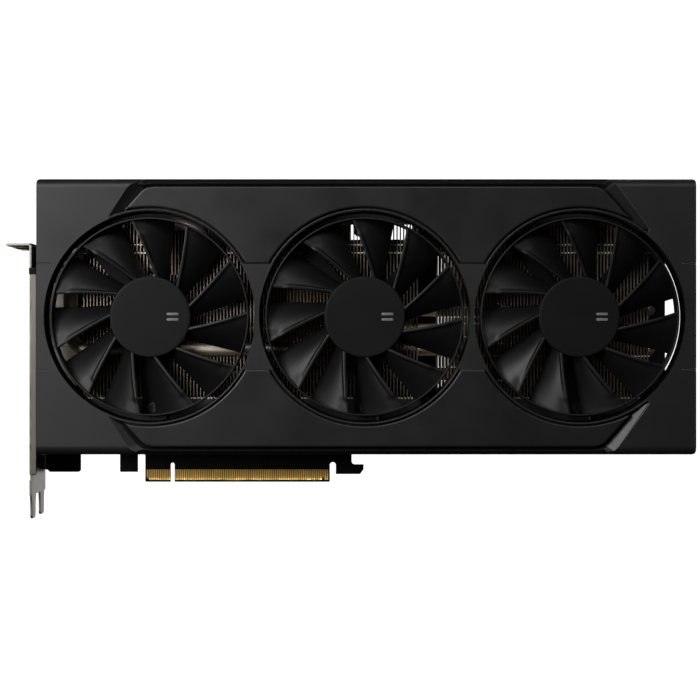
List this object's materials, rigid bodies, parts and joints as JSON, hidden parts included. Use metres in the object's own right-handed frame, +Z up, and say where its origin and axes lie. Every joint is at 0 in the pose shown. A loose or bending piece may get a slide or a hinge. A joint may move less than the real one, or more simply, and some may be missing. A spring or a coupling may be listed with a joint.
{
  "type": "graphics card",
  "caption": "Long two-slot computer graphics card with axial cooling fans in a matte black shroud, finned heatsink, metal slot bracket and gold edge connector.",
  "frame": {"origin": "centre of the key notch of the edge connector, on the connector's bottom edge, in the middle of the board's thickness", "axes": "+X along the card away from the bracket, -Y out of the fans, +Z up from the edge connector to the card's top edge"},
  "size_m": [0.3049, 0.0406, 0.1504],
  "materials": {
    "shroud_plastic": "fine matte",
    "trim_plastic": "satin",
    "accent_plastic": "glossy",
    "fan_plastic": "satin",
    "frame_plastic": "matte",
    "badge_print": "printed",
    "magnet": "matte",
    "winding_copper": "enamelled copper",
    "bearing_bronze": "sintered",
    "zinc_screw": "zinc plated",
    "black_screw": "black oxide",
    "lead_sleeve": "satin",
    "header_plastic": "moulded",
    "black_metal": "matte powder coat",
    "fin_metal": "nickel plated",
    "pipe_metal": "nickel plated",
    "copper_plate": "machined copper",
    "thermal_pad": "soft",
    "board_laminate": "solder mask",
    "gold_contact": "gold plated",
    "chip_substrate": "laminate",
    "chip_epoxy": "moulded epoxy",
    "inductor_ferrite": "ferrite",
    "capacitor_can": "drawn can",
    "connector_plastic": "moulded",
    "pin_metal": "plated",
    "socket_shell": "nickel plated",
    "spring_steel": "satin",
    "bracket_steel": "nickel plated"
  },
  "bodies": {
    "card": {"front_shroud": "shroud_plastic", "upper_trim_panel": "trim_plastic", "lower_trim_panel": "trim_plastic", "upper_accent_strip": "accent_plastic", "lower_accent_strip": "accent_plastic", "fan_1_stator": "winding_copper", "fan_1_bearing": "bearing_bronze", "fan_1_mount": "frame_plastic", "fan_2_stator": "winding_copper", "fan_2_bearing": "bearing_bronze", "fan_2_mount": "frame_plastic", "fan_3_stator": "winding_copper", "fan_3_bearing": "bearing_bronze", "fan_3_mount": "frame_plastic", "fan_mount_screws": "zinc_screw", "fan_foot_screws": "black_screw", "fan_cables": "lead_sleeve", "fan_headers": "header_plastic", "stiffener_rail": "black_metal", "main_fin_stack": "fin_metal", "tail_fin_stack": "fin_metal", "base_heat_pipes": "pipe_metal", "front_heat_pipes": "pipe_metal", "cold_plate": "copper_plate", "memory_pads": "thermal_pad", "circuit_board": "board_laminate", "edge_contacts": "gold_contact", "gpu_package": "chip_substrate", "memory_chips": "chip_epoxy", "power_inductors": "inductor_ferrite", "power_stages": "chip_epoxy", "capacitors": "capacitor_can", "power_connector": "connector_plastic", "power_pins": "pin_metal", "display_sockets": "socket_shell", "socket_tongues": "connector_plastic", "backplate": "black_metal", "backplate_spacers": "pin_metal", "backplate_screws": "black_screw", "retention_spring": "spring_steel", "retention_screws": "zinc_screw", "io_bracket": "bracket_steel", "bracket_screws": "black_screw", "shroud_screws": "black_screw"},
    "fan_1_rotor": {"fan_1_impeller": "fan_plastic", "fan_1_hub_badge": "badge_print", "fan_1_magnet_ring": "magnet", "fan_1_shaft": "pin_metal"},
    "fan_2_rotor": {"fan_2_impeller": "fan_plastic", "fan_2_hub_badge": "badge_print", "fan_2_magnet_ring": "magnet", "fan_2_shaft": "pin_metal"},
    "fan_3_rotor": {"fan_3_impeller": "fan_plastic", "fan_3_hub_badge": "badge_print", "fan_3_magnet_ring": "magnet", "fan_3_shaft": "pin_metal"}
  },
  "joints": [
    {"name": "fan_1_spin", "type": "hinge", "parent": "card", "child": "fan_1_rotor", "pos_m": [-0.0065, -0.029, 0.0756], "axis": [0, -1, 0], "continuous": true},
    {"name": "fan_2_spin", "type": "hinge", "parent": "card", "child": "fan_2_rotor", "pos_m": [0.08845, -0.029, 0.0756], "axis": [0, -1, 0], "continuous": true},
    {"name": "fan_3_spin", "type": "hinge", "parent": "card", "child": "fan_3_rotor", "pos_m": [0.1834, -0.029, 0.0756], "axis": [0, -1, 0], "continuous": true}
  ]
}
